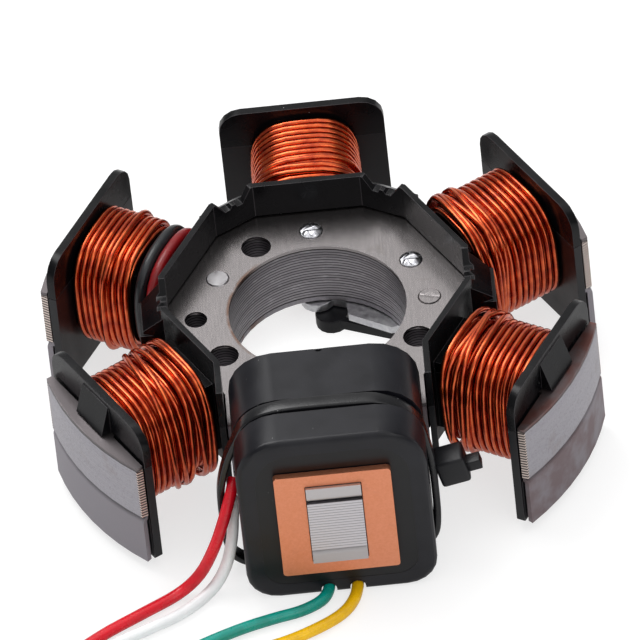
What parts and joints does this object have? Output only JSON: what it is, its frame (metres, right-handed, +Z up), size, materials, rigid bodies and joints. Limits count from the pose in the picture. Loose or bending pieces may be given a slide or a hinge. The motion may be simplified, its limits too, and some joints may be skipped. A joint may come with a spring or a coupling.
{
  "type": "wound stator",
  "caption": "Ring-shaped wound stator: laminated steel core with open copper windings on outward poles and a potted ignition coil on a straight tooth, with free leads.",
  "frame": {"origin": "on the bore's axis, level with the underside of the potted coil case that the stator stands on", "axes": "+Z up along the bore's axis, towards the face with the tall collar; -Y towards the potted ignition coil"},
  "size_m": [0.1053, 0.1779, 0.0372],
  "materials": {
    "lamination_steel": "bare punched edges, slightly dull",
    "end_plate_steel": "brushed, lightly tarnished",
    "black_nylon": "satin moulded",
    "enamelled_copper": "glossy enamel, deep red-brown",
    "fine_enamelled_copper": "glossy enamel",
    "black_case_plastic": "satin moulded",
    "black_potting_resin": "matte cast",
    "bare_copper": "dull, lightly oxidised",
    "zinc_plate": "bright zinc",
    "rivet_steel": "plain steel",
    "red_lead_cover": "smooth PVC",
    "white_lead_cover": "smooth PVC",
    "green_lead_cover": "smooth PVC",
    "yellow_lead_cover": "smooth PVC",
    "black_lead_cover": "smooth PVC",
    "dark_red_lead_cover": "smooth PVC",
    "natural_nylon": "translucent moulded",
    "tinned_brass": "bright strip"
  },
  "bodies": {
    "root": {"bottom_end_plate": "end_plate_steel", "cable_tie": "black_nylon", "coil_bobbin": "black_nylon", "coil_case": "black_case_plastic", "connector_housing": "natural_nylon", "copper_plate": "bare_copper", "domed_rivet_030": "zinc_plate", "domed_rivet_090": "zinc_plate", "flat_rivet_000": "rivet_steel", "flat_rivet_150": "rivet_steel", "ignition_winding": "fine_enamelled_copper", "lamination_stack": "lamination_steel", "lead_bracket": "zinc_plate", "lead_clip": "black_nylon", "lead_green": "green_lead_cover", "lead_red": "red_lead_cover", "lead_white": "white_lead_cover", "lead_yellow": "yellow_lead_cover", "link_lead_black": "black_lead_cover", "link_lead_red": "dark_red_lead_cover", "lower_insulator": "black_nylon", "potting_resin": "black_potting_resin", "terminal_1": "tinned_brass", "terminal_2": "tinned_brass", "terminal_3": "tinned_brass", "terminal_4": "tinned_brass", "top_end_plate": "end_plate_steel", "upper_insulator": "black_nylon", "winding_back": "enamelled_copper", "winding_back_left": "enamelled_copper", "winding_back_right": "enamelled_copper", "winding_front_left": "enamelled_copper", "winding_front_right": "enamelled_copper"}
  },
  "joints": []
}
